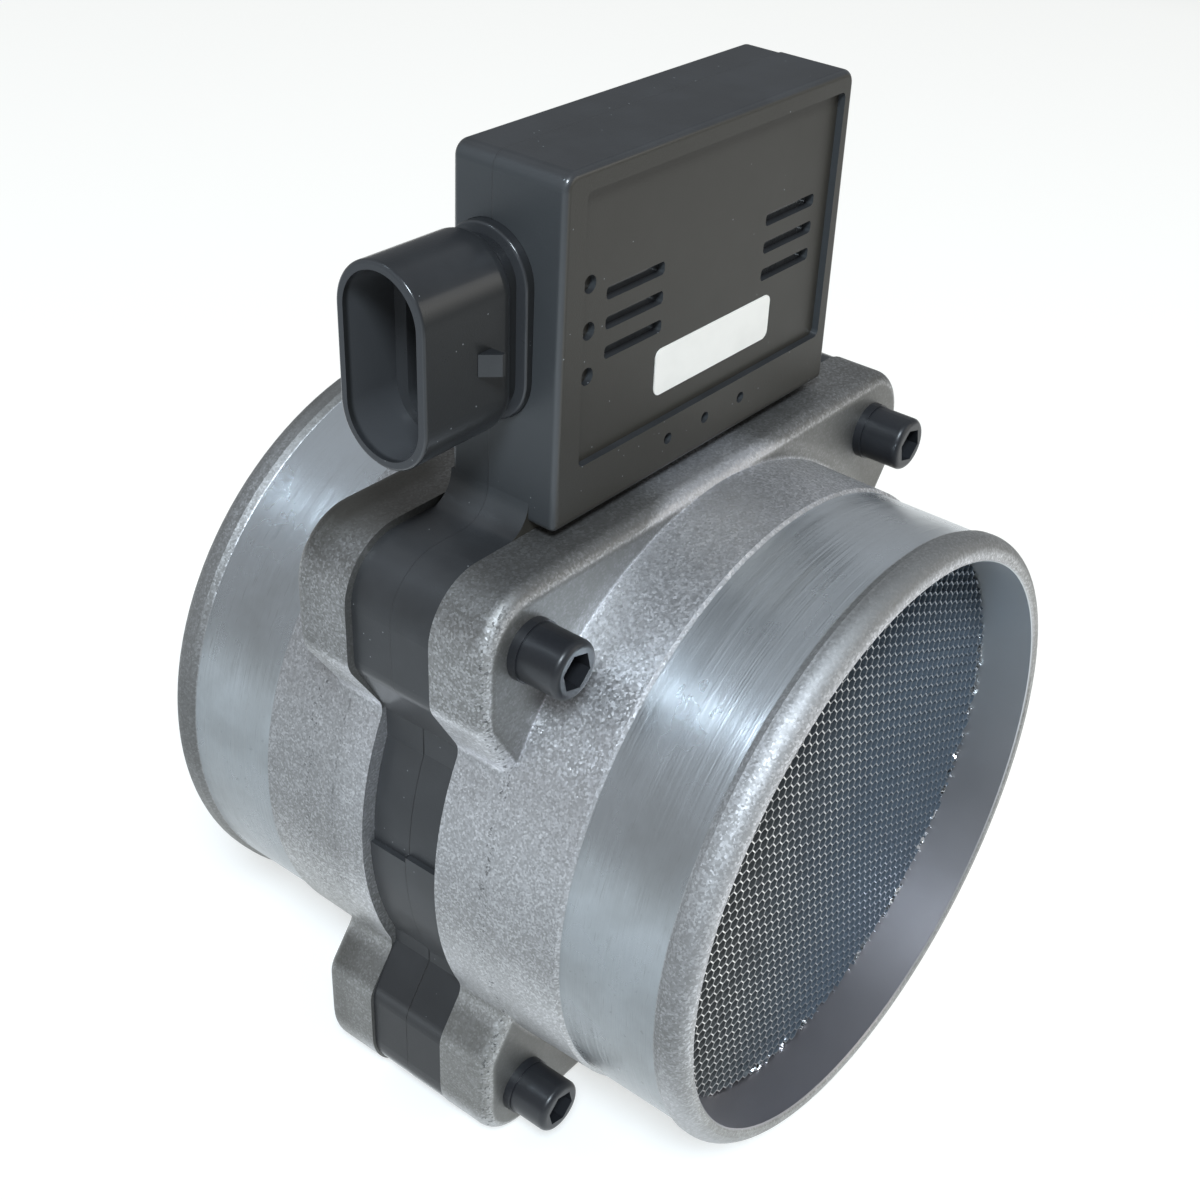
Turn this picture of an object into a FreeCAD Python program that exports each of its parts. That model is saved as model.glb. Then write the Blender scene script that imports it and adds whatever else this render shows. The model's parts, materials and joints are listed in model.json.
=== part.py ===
import FreeCAD, Part
import math
import os

from FreeCAD import Vector

# Mass airflow sensor, millimetres.
# The air duct runs along Y, the visible inlet mouth faces -Y and the electronics box stands up along +Z.
# The origin is on the duct axis, on the joint plane between the two halves of the plastic housing.

# Duct and castings, as walls and steps round one bore
BORE_R = 38.1
THROAT_STEP = 1.0
BAND_WALL = 2.4
BEAD_RISE = 0.45
BODY_RISE = 0.4
BODY_TAPER = 0.3
LIP_WALL = 1.1
LIP_CHAMFER = 0.35
BODY_EDGE = 0.4
BAND_LENGTH = 13.4
INLET_BEAD = 4.0
OUTLET_BEAD = 4.5
BEAD_RAMP = 0.9
NOSE_LENGTH = 2.8
NOSE_FULLNESS = 0.3
INLET_LENGTH = 35.9
OUTLET_LENGTH = 35.0
THROAT_R = BORE_R - THROAT_STEP
BAND_R = BORE_R + BAND_WALL
BEAD_R = BAND_R + BEAD_RISE
BODY_R_BAND = BAND_R + BODY_RISE
BODY_R_JOINT = BODY_R_BAND + BODY_TAPER
NOSE_LIP_R = BORE_R + LIP_WALL

# Square flange with its four screw ears
SCREW_INSET = 4.1
SCREW_INSET_TOP = 3.1
SCREW_INSET_LOW = 4.9
EAR_MARGIN = 7.3
EAR_MARGIN_LOW = 6.9
EAR_MARGIN_RIGHT = 8.2
EAR_DROP = 7.7
FLANGE_THICKNESS = 7.8
OUTLET_FLANGE_EXTRA = 0.6
OUTLET_GROWTH = 0.6
FLANGE_CORNER_R = 7.6
FLANGE_EDGE_R = 2.0
WAIST_SINK = 0.4
WAIST_ANGLE = 27.0
SHOULDER_DROP = 8.2
SHOULDER_R = 4.0
NOTCH_R = 2.5
SCREW_X = BORE_R - SCREW_INSET
SCREW_Z_TOP = BORE_R - SCREW_INSET_TOP
SCREW_Z_LOW = SCREW_INSET_LOW - BORE_R
FLANGE_TOP = SCREW_Z_TOP + EAR_MARGIN

# Spacer ring, which is the lower part of the plastic housing
SPACER_HALF = 5.9
SPACER_INSET = 0.25
SPACER_SINK = 1.2
SPACER_LEDGE = 0.7
LEDGE_Z_FRONT = 1.3
LEDGE_Z_REAR = 0.4
PARTING_STEP = 0.12
SPACER_R_LOW = BODY_R_JOINT - SPACER_SINK
SPACER_R_HIGH = SPACER_R_LOW - SPACER_LEDGE

# Electronics box, which stands on the flange
BOX_FRONT = 9.5
BOX_REAR = 5.5
BOX_LIFT = 1.1
BOX_HEIGHT = 39.4
BOX_WIDTH = 51.6
BOX_X = 1.0
BOX_DRAFT = 0.7
BOX_CORNER_R = 1.8
BOX_REAR_CORNER_R = 1.7
BOX_EDGE_R = 0.8
WALL = 1.9
BACK_WALL = 1.6
FLARE_R = 4.0
BOX_BOTTOM = FLANGE_TOP + BOX_LIFT
BOX_TOP = BOX_BOTTOM + BOX_HEIGHT
BOX_LEFT = BOX_X - BOX_WIDTH / 2
BOX_RIGHT = BOX_X + BOX_WIDTH / 2

# Recessed panel, as borders inside the box
PANEL_DEPTH = 0.9
BORDER_LEFT = 3.2
BORDER_RIGHT = 1.6
BORDER_LOW = 6.6
BORDER_TOP = 2.4
PANEL_CORNER_R = 0.8
PANEL_LEFT = BOX_LEFT + BORDER_LEFT
PANEL_RIGHT = BOX_RIGHT - BORDER_RIGHT
PANEL_LOW = BOX_BOTTOM + BORDER_LOW
PANEL_HIGH = BOX_TOP - BORDER_TOP

# Openings in the panel and its border, measured from the panel's corners
SLOT_LENGTH = 9.9
SLOT_HEIGHT = 1.5
SLOT_PITCH = 3.35
SLOT_DROP = 12.2
SLOT_INSET_LEFT = 4.8
SLOT_INSET_RIGHT = 3.1
SLOT_END_R = 0.5
SLOTS_PER_GROUP = 3
DIMPLE_INSET = 2.0
DIMPLE_DROP = 10.3
DIMPLE_PITCH = 5.15
DIMPLE_R = 1.0
DIMPLE_DEPTH = 0.8
BORDER_HOLE_INSET = 16.1
BORDER_HOLE_PITCH = 7.15
BORDER_HOLE_RISE = 4.0
BORDER_HOLE_R = 0.7
BORDER_HOLE_DEPTH = 1.2
HOLES_PER_ROW = 3

# Label on the panel
LABEL_WIDTH = 22.2
LABEL_HEIGHT = 5.6
LABEL_THICKNESS = 0.15
LABEL_CORNER_R = 1.0
LABEL_INSET = 13.9
LABEL_RISE = 3.1

# Connector, as lengths out from the left side of the box
PLUG_DROP = 17.6
PLUG_REACH = 16.1
PLUG_NECK = 2.6
PLUG_HALF_WIDTH = 5.9
PLUG_HALF_HEIGHT = 11.0
PLUG_TAPER = 0.1
PLUG_WALL = 1.0
PLUG_LIP_R = 0.4
PLUG_END_R = 2.0
PLUG_STEP_DEPTH = 7.0
PLUG_DEPTH = 12.5
POCKET_HALF_WIDTH = 3.3
POCKET_HALF_HEIGHT = 9.0
COLLAR_HEIGHT = 1.3
COLLAR_HALF_WIDTH = 5.8
COLLAR_HALF_HEIGHT = 10.8
COLLAR_EDGE_R = 0.3
COLLAR_SEAT = 0.3
ROOT_HALF_WIDTH = 4.4
ROOT_HALF_HEIGHT = 9.6
ROOT_DEPTH = 3.3
PLUG_Z = BOX_TOP - PLUG_DROP
PLUG_MOUTH_X = BOX_LEFT - PLUG_REACH
PLUG_END_X = BOX_LEFT - PLUG_NECK
COLLAR_X = BOX_LEFT - COLLAR_HEIGHT
ROOT_END_X = BOX_LEFT + ROOT_DEPTH

# Latch nub and blades of the connector, measured in from its mouth
NUB_START = 7.5
NUB_RAMP = 1.7
NUB_FLAT = 0.4
NUB_PROUD = 1.7
NUB_DROP = 0.3
NUB_HEIGHT = 2.4
BLADE_START = 7.4
BLADE_TAIL = 4.0
BLADE_PITCH = 5.2
BLADE_WIDTH = 1.5
BLADE_THICKNESS = 0.64
BLADE_COUNT = 3

# Electronics inside the box
BOARD_FRONT_Y = 0.35
BOARD_THICKNESS = 1.0
BOARD_GAP_SIDE = 4.3
BOARD_GAP_LOW = 5.0
BOARD_GAP_TOP = 3.8
GEL_GAP = 1.65
STAND_OFF_R = 1.6
STAND_OFF_INSET = 3.0
STAND_OFF_SINK = 0.2
CHIP_SHIFT = 5.0
CHIP_DROP = 13.0
CHIP_WIDTH = 12.0
CHIP_HEIGHT = 9.0
CHIP_THICKNESS = 1.2
CAN_R = 1.5
CAN_HEIGHT = 1.2
CAN_PITCH = 5.5
CAN_RISE = 5.0
CAN_COUNT = 4
BOARD_LEFT = BOX_LEFT + BOARD_GAP_SIDE
BOARD_RIGHT = BOX_RIGHT - BOARD_GAP_SIDE
BOARD_LOW = BOX_BOTTOM + BOARD_GAP_LOW
BOARD_HIGH = BOX_TOP - BOARD_GAP_TOP
CHIP_X = BOX_X + CHIP_SHIFT
CHIP_Z = BOARD_HIGH - CHIP_DROP

# Screws and lock washers
SHANK_R = 2.0
HEAD_R = 3.5
HEAD_LENGTH = 5.4
HEAD_EDGE_R = 0.8
SOCKET_DEPTH = 2.8
SOCKET_FLAT = 4.0
SOCKET_ANGLE = 44.0
WASHER_R = 3.7
WASHER_THICKNESS = 1.1
WASHER_GAP = 0.5
SCREW_CLEARANCE = 0.25
THREAD_CLEARANCE = 0.04
SCREW_END = 2.0

# Joint seals, in grooves of the castings
SEAL_WIDTH = 1.3
SEAL_HEIGHT = 1.2
SEAL_GROOVE_GAP = 0.1
SEAL_WALL = 0.35
SEAL_R = THROAT_R + SEAL_WALL + SEAL_GROOVE_GAP + SEAL_WIDTH / 2

# Honeycomb in the inlet bore
COMB_RECESS = 7.5
COMB_THICKNESS = 10.0
PRESS_GAP = 0.05
COMB_RIM = 0.8
CELL_PITCH = 6.55
CELL_WEB = 0.65
CELL_ANGLE = 13.0

# Screen and snap ring in the outlet bore
SCREEN_RECESS = 6.0
SCREEN_THICKNESS = 0.8
SCREEN_RIM = 2.0
SCREEN_PITCH = 6.3
SCREEN_BAR = 0.5
SNAP_RING_WIDTH = 2.4
SNAP_RING_THICKNESS = 1.6
SNAP_RING_GAP_ANGLE = 24.0

# Sensing carrier in the throat, with its sampling ring round the duct axis
CARRIER_HALF_WIDTH = 7.0
CARRIER_HALF_DEPTH = 3.0
CARRIER_RISE = 2.8
WINDOW_HALF_WIDTH = 3.6
WINDOW_HEIGHT = 13.0
WINDOW_DROP = 17.1
WINDOW_END_FLAT = 0.1
RING_IN_R = 7.2
RING_WALL = 2.3
RING_HALF_LENGTH = 6.0
POST_R = 0.45
POST_Y = 2.6
POST_X = 2.6
WIRE_R = 0.3
WIRE_Z = 2.4
BEAD_SENSOR_R = 1.3
LEG_R = 0.3
LEG_X = 0.7
LEAD_COUNT = 4
LEAD_PITCH = 2.6
LEAD_WIDTH = 1.0
LEAD_THICKNESS = 0.3
LEAD_LAP = 1.5
CARRIER_TOP = BOX_BOTTOM + CARRIER_RISE
WINDOW_Z = THROAT_R - WINDOW_DROP

# Play between parts that fit together, and how far a cutter runs past a face
FIT = 0.05
PAST = 1.0

AXIS_Y = Vector(0, 1, 0)
AXIS_X = Vector(1, 0, 0)
INLET = -1
OUTLET = 1


# Small helpers

def rod(radius, y_start, y_end, x=0.0, z=0.0):
    low = min(y_start, y_end)
    return Part.makeCylinder(radius, abs(y_end - y_start), Vector(x, low, z), AXIS_Y)


def block(x_range, y_range, z_range):
    size = [high - low for low, high in (x_range, y_range, z_range)]
    return Part.makeBox(*size, Vector(x_range[0], y_range[0], z_range[0]))


def prism(points, y_start, y_end):
    corners = [Vector(x, y_start, z) for x, z in points]
    face = Part.Face(Part.makePolygon(corners + corners[:1]))
    return face.extrude(Vector(0, y_end - y_start, 0))


def turned(edges):
    face = Part.Face(Part.Wire(edges))
    return face.revolve(Vector(0, 0, 0), AXIS_Y, 360)


def chain(points):
    corners = [Vector(radius, y, 0) for radius, y in points]
    return [Part.makeLine(start, end) for start, end in zip(corners, corners[1:])]


def runs_along(edge, axis):
    if not isinstance(edge.Curve, Part.Line):
        return False
    return abs(abs(edge.tangentAt(edge.FirstParameter).dot(axis)) - 1) < 1e-6


def edges_near(shape, axis, spots, reach=0.6):
    picked = []
    for edge in shape.Edges:
        middle = edge.CenterOfMass
        if runs_along(edge, axis) and any(math.hypot(middle.x - x, middle.z - z) < reach for x, z in spots):
            picked.append(edge)
    return picked


def edges_in_plane(shape, y):
    return [edge for edge in shape.Edges
            if abs(edge.BoundBox.YMin - y) < 1e-4 and abs(edge.BoundBox.YMax - y) < 1e-4]


def stadium(x_start, x_end, half_width, half_height, growth=0.0):
    # Upright oval bar along X; growth widens it evenly towards x_end
    def outline(x, extra):
        radius = half_width + extra
        straight = half_height - half_width
        top = PLUG_Z + straight
        low = PLUG_Z - straight
        right = Part.makeLine(Vector(x, radius, low), Vector(x, radius, top))
        left = Part.makeLine(Vector(x, -radius, top), Vector(x, -radius, low))
        crown = Part.Arc(Vector(x, radius, top), Vector(x, 0, top + radius), Vector(x, -radius, top))
        base = Part.Arc(Vector(x, -radius, low), Vector(x, 0, low - radius), Vector(x, radius, low))
        return Part.Wire([right, crown.toShape(), left, base.toShape()])

    return Part.makeLoft([outline(x_start, 0.0), outline(x_end, growth)], True, True)


def edges_across(shape, x):
    return [edge for edge in shape.Edges
            if abs(edge.BoundBox.XMin - x) < 1e-3 and abs(edge.BoundBox.XMax - x) < 1e-3]


def screw_places():
    return [(x, z) for z in (SCREW_Z_TOP, SCREW_Z_LOW) for x in (-SCREW_X, SCREW_X)]


# Flange outline, shared by the castings and the spacer

def ear_plate(y_start, y_end, growth):
    left = -(SCREW_X + EAR_MARGIN + growth)
    left_low = -(SCREW_X + EAR_MARGIN_LOW + growth / 2)
    right = SCREW_X + EAR_MARGIN_RIGHT + growth
    top = SCREW_Z_TOP + EAR_MARGIN + growth
    low = SCREW_Z_LOW - EAR_DROP - growth / 2
    shoulder_top = SCREW_Z_TOP - SHOULDER_DROP
    shoulder_low = SCREW_Z_LOW + SHOULDER_DROP
    corners = [(left, top), (right, top), (right, low), (left_low, low)]
    shoulders = [(right, shoulder_top), (right, shoulder_low), (left_low, shoulder_low), (left, shoulder_top)]
    waist_x = (BODY_R_JOINT - WAIST_SINK) * math.cos(math.radians(WAIST_ANGLE))
    waist_z = (BODY_R_JOINT - WAIST_SINK) * math.sin(math.radians(WAIST_ANGLE))
    waist = [(waist_x, waist_z), (waist_x, -waist_z), (-waist_x, -waist_z), (-waist_x, waist_z)]
    outline = [corners[1], shoulders[0], waist[0], waist[1], shoulders[1], corners[2],
               corners[3], shoulders[2], waist[2], waist[3], shoulders[3], corners[0]]
    plate = prism(outline, y_start, y_end)
    plate = plate.makeFillet(FLANGE_CORNER_R + growth, edges_near(plate, AXIS_Y, corners))
    return plate.makeFillet(SHOULDER_R, edges_near(plate, AXIS_Y, shoulders))


def notch_edges(shape, radius):
    # Upright creases where the ears run into the round body
    return [edge for edge in shape.Edges
            if runs_along(edge, AXIS_Y)
            and abs(math.hypot(edge.CenterOfMass.x, edge.CenterOfMass.z) - radius) < 0.05
            and abs(edge.CenterOfMass.z) < SCREW_Z_TOP - SHOULDER_DROP]


def flange_face(sign):
    extra = OUTLET_FLANGE_EXTRA if sign == OUTLET else 0.0
    return sign * (SPACER_HALF + FLANGE_THICKNESS + extra)


def flange(sign):
    joint = sign * SPACER_HALF
    face = flange_face(sign)
    plate = ear_plate(joint, face, OUTLET_GROWTH if sign == OUTLET else 0.0)
    plate = plate.fuse(rod(BODY_R_JOINT, joint, face)).removeSplitter()
    plate = plate.makeFillet(NOTCH_R, notch_edges(plate, BODY_R_JOINT))
    return plate.makeFillet(FLANGE_EDGE_R, edges_in_plane(plate, face))


# Castings

def tube(sign, length, bead):
    def at(distance):
        return sign * (SPACER_HALF + distance)

    bead_end = length
    bead_start = length - bead
    band_start = bead_start - BAND_LENGTH
    nose_start = length - NOSE_LENGTH
    shoulder = length - COMB_RECESS - COMB_THICKNESS
    outside = chain([(THROAT_R, at(0)), (BODY_R_JOINT, at(0)), (BODY_R_BAND, at(band_start - BODY_EDGE)),
                     (BAND_R, at(band_start)), (BAND_R, at(bead_start)), (BEAD_R, at(bead_start + BEAD_RAMP)),
                     (BEAD_R, at(nose_start))])
    bulge = Vector(BEAD_R - NOSE_FULLNESS * (BEAD_R - NOSE_LIP_R), at(length - NOSE_FULLNESS * NOSE_LENGTH), 0)
    nose = Part.Arc(Vector(BEAD_R, at(nose_start), 0), bulge, Vector(NOSE_LIP_R, at(bead_end), 0))
    inside = chain([(NOSE_LIP_R, at(bead_end)), (BORE_R + LIP_CHAMFER, at(bead_end)),
                    (BORE_R, at(bead_end - LIP_CHAMFER)), (BORE_R, at(shoulder)), (THROAT_R, at(shoulder)),
                    (THROAT_R, at(0))])
    return turned(outside + [nose.toShape()] + inside)


def seal_groove(sign):
    depth = SEAL_HEIGHT + SEAL_GROOVE_GAP
    half = SEAL_WIDTH / 2 + SEAL_GROOVE_GAP
    joint = sign * SPACER_HALF
    floor = joint + sign * depth
    return rod(SEAL_R + half, joint, floor).cut(rod(SEAL_R - half, joint, floor))


def casting(sign, length, bead):
    body = flange(sign).cut(rod(BORE_R + LIP_WALL, sign * SPACER_HALF, flange_face(sign)))
    body = body.fuse(tube(sign, length, bead)).removeSplitter()
    body = body.cut(seal_groove(sign))
    hole_r = SHANK_R + (SCREW_CLEARANCE if sign == INLET else THREAD_CLEARANCE)
    for x, z in screw_places():
        body = body.cut(rod(hole_r, sign * (SPACER_HALF - PAST), flange_face(sign) + sign * PAST, x, z))
    return body


# Plastic housing

def spacer_half(y_start, y_end, ledge_z, shrink):
    plate = ear_plate(y_start, y_end, -SPACER_INSET - shrink)
    low = rod(SPACER_R_LOW - shrink, y_start, y_end)
    reach = SPACER_R_LOW + PAST
    low = low.cut(block((-reach, reach), (-reach, reach), (ledge_z, reach)))
    high = rod(SPACER_R_HIGH - shrink, y_start, y_end)
    return plate.fuse([low, high]).removeSplitter()


def draft_at(z):
    # How far the sides of the box lean out at a height
    return BOX_DRAFT * (BOX_TOP - z) / BOX_HEIGHT


def box_outline(shrink):
    return [(BOX_LEFT - BOX_DRAFT + shrink, BOX_BOTTOM), (BOX_RIGHT + BOX_DRAFT - shrink, BOX_BOTTOM),
            (BOX_RIGHT - shrink, BOX_TOP - shrink), (BOX_LEFT + shrink, BOX_TOP - shrink)]


def box_shell(y_joint, y_face, shrink, corner_r):
    outline = box_outline(shrink)
    shell = prism(outline, y_joint, y_face)
    shell = shell.makeFillet(corner_r, edges_near(shell, AXIS_Y, outline[2:]))
    shell = shell.makeFillet(BOX_EDGE_R, edges_near(shell, AXIS_Y, outline[:2]))
    return shell.makeFillet(BOX_EDGE_R, edges_in_plane(shell, y_face))


def pedestal(y_start, y_end, shrink):
    # Neck between the spacer and the box, which flares out onto the ears
    foot = FLANGE_TOP - SPACER_INSET - shrink
    neck = foot + FLARE_R
    left = BOX_LEFT - draft_at(neck) + shrink
    right = BOX_RIGHT + draft_at(neck) - shrink
    bulge = FLARE_R * (1 - math.sqrt(0.5))

    def flare(x, side):
        start = Vector(x + side * FLARE_R, y_start, foot)
        middle = Vector(x + side * bulge, y_start, foot + bulge)
        return Part.Arc(start, middle, Vector(x, y_start, neck)).toShape()

    base_z = foot - FLARE_R
    edges = [flare(left, -1),
             Part.makeLine(Vector(left, y_start, neck), Vector(right, y_start, neck)),
             flare(right, 1),
             Part.makeLine(Vector(right + FLARE_R, y_start, foot), Vector(right + FLARE_R, y_start, base_z)),
             Part.makeLine(Vector(right + FLARE_R, y_start, base_z), Vector(left - FLARE_R, y_start, base_z)),
             Part.makeLine(Vector(left - FLARE_R, y_start, base_z), Vector(left - FLARE_R, y_start, foot))]
    return Part.Face(Part.Wire(Part.__sortEdges__(edges))).extrude(Vector(0, y_end - y_start, 0))


def cavity():
    low = BOX_BOTTOM + WALL
    high = BOX_TOP - WALL
    return block((BOX_LEFT + WALL, BOX_RIGHT - WALL), (-BOX_FRONT + WALL, BOX_REAR - BACK_WALL), (low, high))


def soft_slot(x, z, width, height, y_start, y_end, radius):
    half = height / 2
    slot = block((x, x + width), (y_start, y_end), (z - half, z + half))
    corners = [(cx, cz) for cx in (x, x + width) for cz in (z - half, z + half)]
    return slot.makeFillet(radius, edges_near(slot, AXIS_Y, corners, 0.1))


def panel_cuts():
    front = -BOX_FRONT
    floor = front + PANEL_DEPTH
    middle_z = (PANEL_LOW + PANEL_HIGH) / 2
    cuts = [soft_slot(PANEL_LEFT, middle_z, PANEL_RIGHT - PANEL_LEFT, PANEL_HIGH - PANEL_LOW,
                      front - PAST, floor, PANEL_CORNER_R)]
    for row in range(SLOTS_PER_GROUP):
        z = PANEL_HIGH - SLOT_DROP - row * SLOT_PITCH
        for x in (PANEL_LEFT + SLOT_INSET_LEFT, PANEL_RIGHT - SLOT_INSET_RIGHT - SLOT_LENGTH):
            cuts.append(soft_slot(x, z, SLOT_LENGTH, SLOT_HEIGHT, front - PAST, front + WALL + PAST, SLOT_END_R))
    for row in range(HOLES_PER_ROW):
        z = PANEL_HIGH - DIMPLE_DROP - row * DIMPLE_PITCH
        cuts.append(rod(DIMPLE_R, floor - PAST, floor + DIMPLE_DEPTH, PANEL_LEFT + DIMPLE_INSET, z))
        x = PANEL_LEFT + BORDER_HOLE_INSET + row * BORDER_HOLE_PITCH
        z = BOX_BOTTOM + BORDER_HOLE_RISE
        cuts.append(rod(BORDER_HOLE_R, front - PAST, front + BORDER_HOLE_DEPTH, x, z))
    return cuts


def connector_seat():
    # Oval hole for the root of the connector, with a shallow seat for its collar
    outside = BOX_LEFT - BOX_DRAFT - PAST
    root = stadium(outside, ROOT_END_X + FIT, ROOT_HALF_WIDTH + FIT, ROOT_HALF_HEIGHT + FIT)
    seat = stadium(outside, BOX_LEFT + COLLAR_SEAT, COLLAR_HALF_WIDTH + FIT, COLLAR_HALF_HEIGHT + FIT)
    return root.fuse(seat)


def carrier_seat():
    side = CARRIER_HALF_WIDTH + FIT
    depth = CARRIER_HALF_DEPTH + FIT
    return block((-side, side), (-depth, depth), (THROAT_R - PAST, CARRIER_TOP))


def finish_half(half):
    half = half.cut(rod(THROAT_R, -SPACER_HALF - PAST, SPACER_HALF + PAST))
    half = half.cut([cavity(), connector_seat(), carrier_seat()])
    for x, z in screw_places():
        half = half.cut(rod(SHANK_R + SCREW_CLEARANCE, -SPACER_HALF - PAST, SPACER_HALF + PAST, x, z))
    return half


def housing_front():
    half = spacer_half(-SPACER_HALF, 0, LEDGE_Z_FRONT, 0.0)
    half = half.fuse([pedestal(-SPACER_HALF, 0, 0.0), box_shell(0, -BOX_FRONT, 0.0, BOX_CORNER_R)]).removeSplitter()
    return finish_half(half).cut(panel_cuts())


def housing_rear():
    half = spacer_half(0, SPACER_HALF, LEDGE_Z_REAR, PARTING_STEP)
    neck = pedestal(0, BOX_REAR, PARTING_STEP)
    shell = box_shell(0, BOX_REAR, PARTING_STEP, BOX_REAR_CORNER_R)
    half = half.fuse([neck, shell]).removeSplitter()
    half = finish_half(half)
    pad_y = BOARD_FRONT_Y + BOARD_THICKNESS
    pads = [rod(STAND_OFF_R, pad_y, BOX_REAR - BACK_WALL + STAND_OFF_SINK, x, z)
            for x in (BOARD_LEFT + STAND_OFF_INSET, BOARD_RIGHT - STAND_OFF_INSET)
            for z in (BOARD_LOW + STAND_OFF_INSET, BOARD_HIGH - STAND_OFF_INSET)]
    return half.fuse(pads).removeSplitter()


# Connector

def latch_nub():
    # Ramp that rises away from the mouth
    surface = -PLUG_HALF_WIDTH
    crest = surface - NUB_PROUD
    low = PLUG_Z - NUB_DROP - NUB_HEIGHT / 2
    start = PLUG_MOUTH_X + NUB_START
    top = start + NUB_RAMP
    end = top + NUB_FLAT
    outline = [(start, surface + PLUG_WALL / 2), (start, surface), (top, crest), (end, crest),
               (end, surface + PLUG_WALL / 2)]
    corners = [Vector(x, y, low) for x, y in outline]
    return Part.Face(Part.makePolygon(corners + corners[:1])).extrude(Vector(0, 0, NUB_HEIGHT))


def connector_shell():
    outer = stadium(PLUG_MOUTH_X, PLUG_END_X, PLUG_HALF_WIDTH, PLUG_HALF_HEIGHT, -PLUG_TAPER)
    outer = outer.makeFillet(PLUG_LIP_R, edges_across(outer, PLUG_MOUTH_X))
    outer = outer.makeFillet(PLUG_END_R, edges_across(outer, PLUG_END_X))
    collar = stadium(COLLAR_X, BOX_LEFT + COLLAR_SEAT, COLLAR_HALF_WIDTH, COLLAR_HALF_HEIGHT)
    collar = collar.makeFillet(COLLAR_EDGE_R, edges_across(collar, COLLAR_X))
    root = stadium(PLUG_END_X - PLUG_END_R, ROOT_END_X, ROOT_HALF_WIDTH, ROOT_HALF_HEIGHT)
    shell = outer.fuse([collar, root, latch_nub()]).removeSplitter()
    shallow = stadium(PLUG_MOUTH_X - PAST, PLUG_MOUTH_X + PLUG_STEP_DEPTH,
                      PLUG_HALF_WIDTH - PLUG_WALL, PLUG_HALF_HEIGHT - PLUG_WALL)
    pocket = stadium(PLUG_MOUTH_X, PLUG_MOUTH_X + PLUG_DEPTH, POCKET_HALF_WIDTH, POCKET_HALF_HEIGHT)
    return shell.cut([shallow, pocket] + blades(FIT))


def blades(clearance):
    half_y = BLADE_THICKNESS / 2 + clearance
    half_z = BLADE_WIDTH / 2 + clearance
    middle = (BLADE_COUNT - 1) / 2
    heights = [PLUG_Z + (index - middle) * BLADE_PITCH for index in range(BLADE_COUNT)]
    along = (PLUG_MOUTH_X + BLADE_START, ROOT_END_X + BLADE_TAIL)
    return [block(along, (-half_y, half_y), (z - half_z, z + half_z)) for z in heights]


# Electronics

def circuit_board():
    return block((BOARD_LEFT, BOARD_RIGHT), (BOARD_FRONT_Y, BOARD_FRONT_Y + BOARD_THICKNESS),
                 (BOARD_LOW, BOARD_HIGH))


def hybrid_chip():
    return block((CHIP_X - CHIP_WIDTH / 2, CHIP_X + CHIP_WIDTH / 2), (BOARD_FRONT_Y - CHIP_THICKNESS, BOARD_FRONT_Y),
                 (CHIP_Z - CHIP_HEIGHT / 2, CHIP_Z + CHIP_HEIGHT / 2))


def board_components():
    first = CHIP_X - CHIP_WIDTH / 2
    return [rod(CAN_R, BOARD_FRONT_Y - CAN_HEIGHT, BOARD_FRONT_Y, first + index * CAN_PITCH, BOARD_LOW + CAN_RISE)
            for index in range(CAN_COUNT)]


def potting_gel():
    inset = WALL + FIT
    gel = block((BOX_LEFT + inset, BOX_RIGHT - inset), (-BOX_FRONT + WALL, BOARD_FRONT_Y - GEL_GAP),
                (BOX_BOTTOM + inset, BOX_TOP - inset))
    return gel.cut([connector_seat(), carrier_seat()])


def label():
    floor = -BOX_FRONT + PANEL_DEPTH
    return soft_slot(PANEL_LEFT + LABEL_INSET, PANEL_LOW + LABEL_RISE + LABEL_HEIGHT / 2, LABEL_WIDTH, LABEL_HEIGHT,
                     floor - LABEL_THICKNESS, floor, LABEL_CORNER_R)


# Screws, washers and seals

def hexagon(x, z, flat, angle, y_start, y_end):
    corner = flat / math.sqrt(3)
    angles = [math.radians(angle + 60 * step) for step in range(6)]
    return prism([(x + corner * math.cos(a), z + corner * math.sin(a)) for a in angles], y_start, y_end)


def clamp_screw(x, z):
    seat = -(SPACER_HALF + FLANGE_THICKNESS + WASHER_THICKNESS)
    face = seat - HEAD_LENGTH
    head = rod(HEAD_R, seat, face, x, z)
    head = head.makeFillet(HEAD_EDGE_R, edges_in_plane(head, face))
    socket = hexagon(x, z, SOCKET_FLAT, SOCKET_ANGLE, face - PAST, face + SOCKET_DEPTH)
    shank = rod(SHANK_R, seat - PAST, SPACER_HALF + FLANGE_THICKNESS - SCREW_END, x, z)
    return head.fuse(shank).removeSplitter().cut(socket)


def lock_washer(x, z):
    face = -(SPACER_HALF + FLANGE_THICKNESS)
    ring = rod(WASHER_R, face, face - WASHER_THICKNESS, x, z)
    depth = (face - WASHER_THICKNESS - PAST, face + PAST)
    half = WASHER_GAP / 2
    split = block((x - half, x + half), depth, (z - WASHER_R - PAST, z))
    return ring.cut([rod(SHANK_R + SCREW_CLEARANCE, *depth, x, z), split])


def joint_seal(sign):
    joint = sign * SPACER_HALF
    top = joint + sign * SEAL_HEIGHT
    half = SEAL_WIDTH / 2
    return rod(SEAL_R + half, joint, top).cut(rod(SEAL_R - half, joint, top))


# Honeycomb and screen

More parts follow.
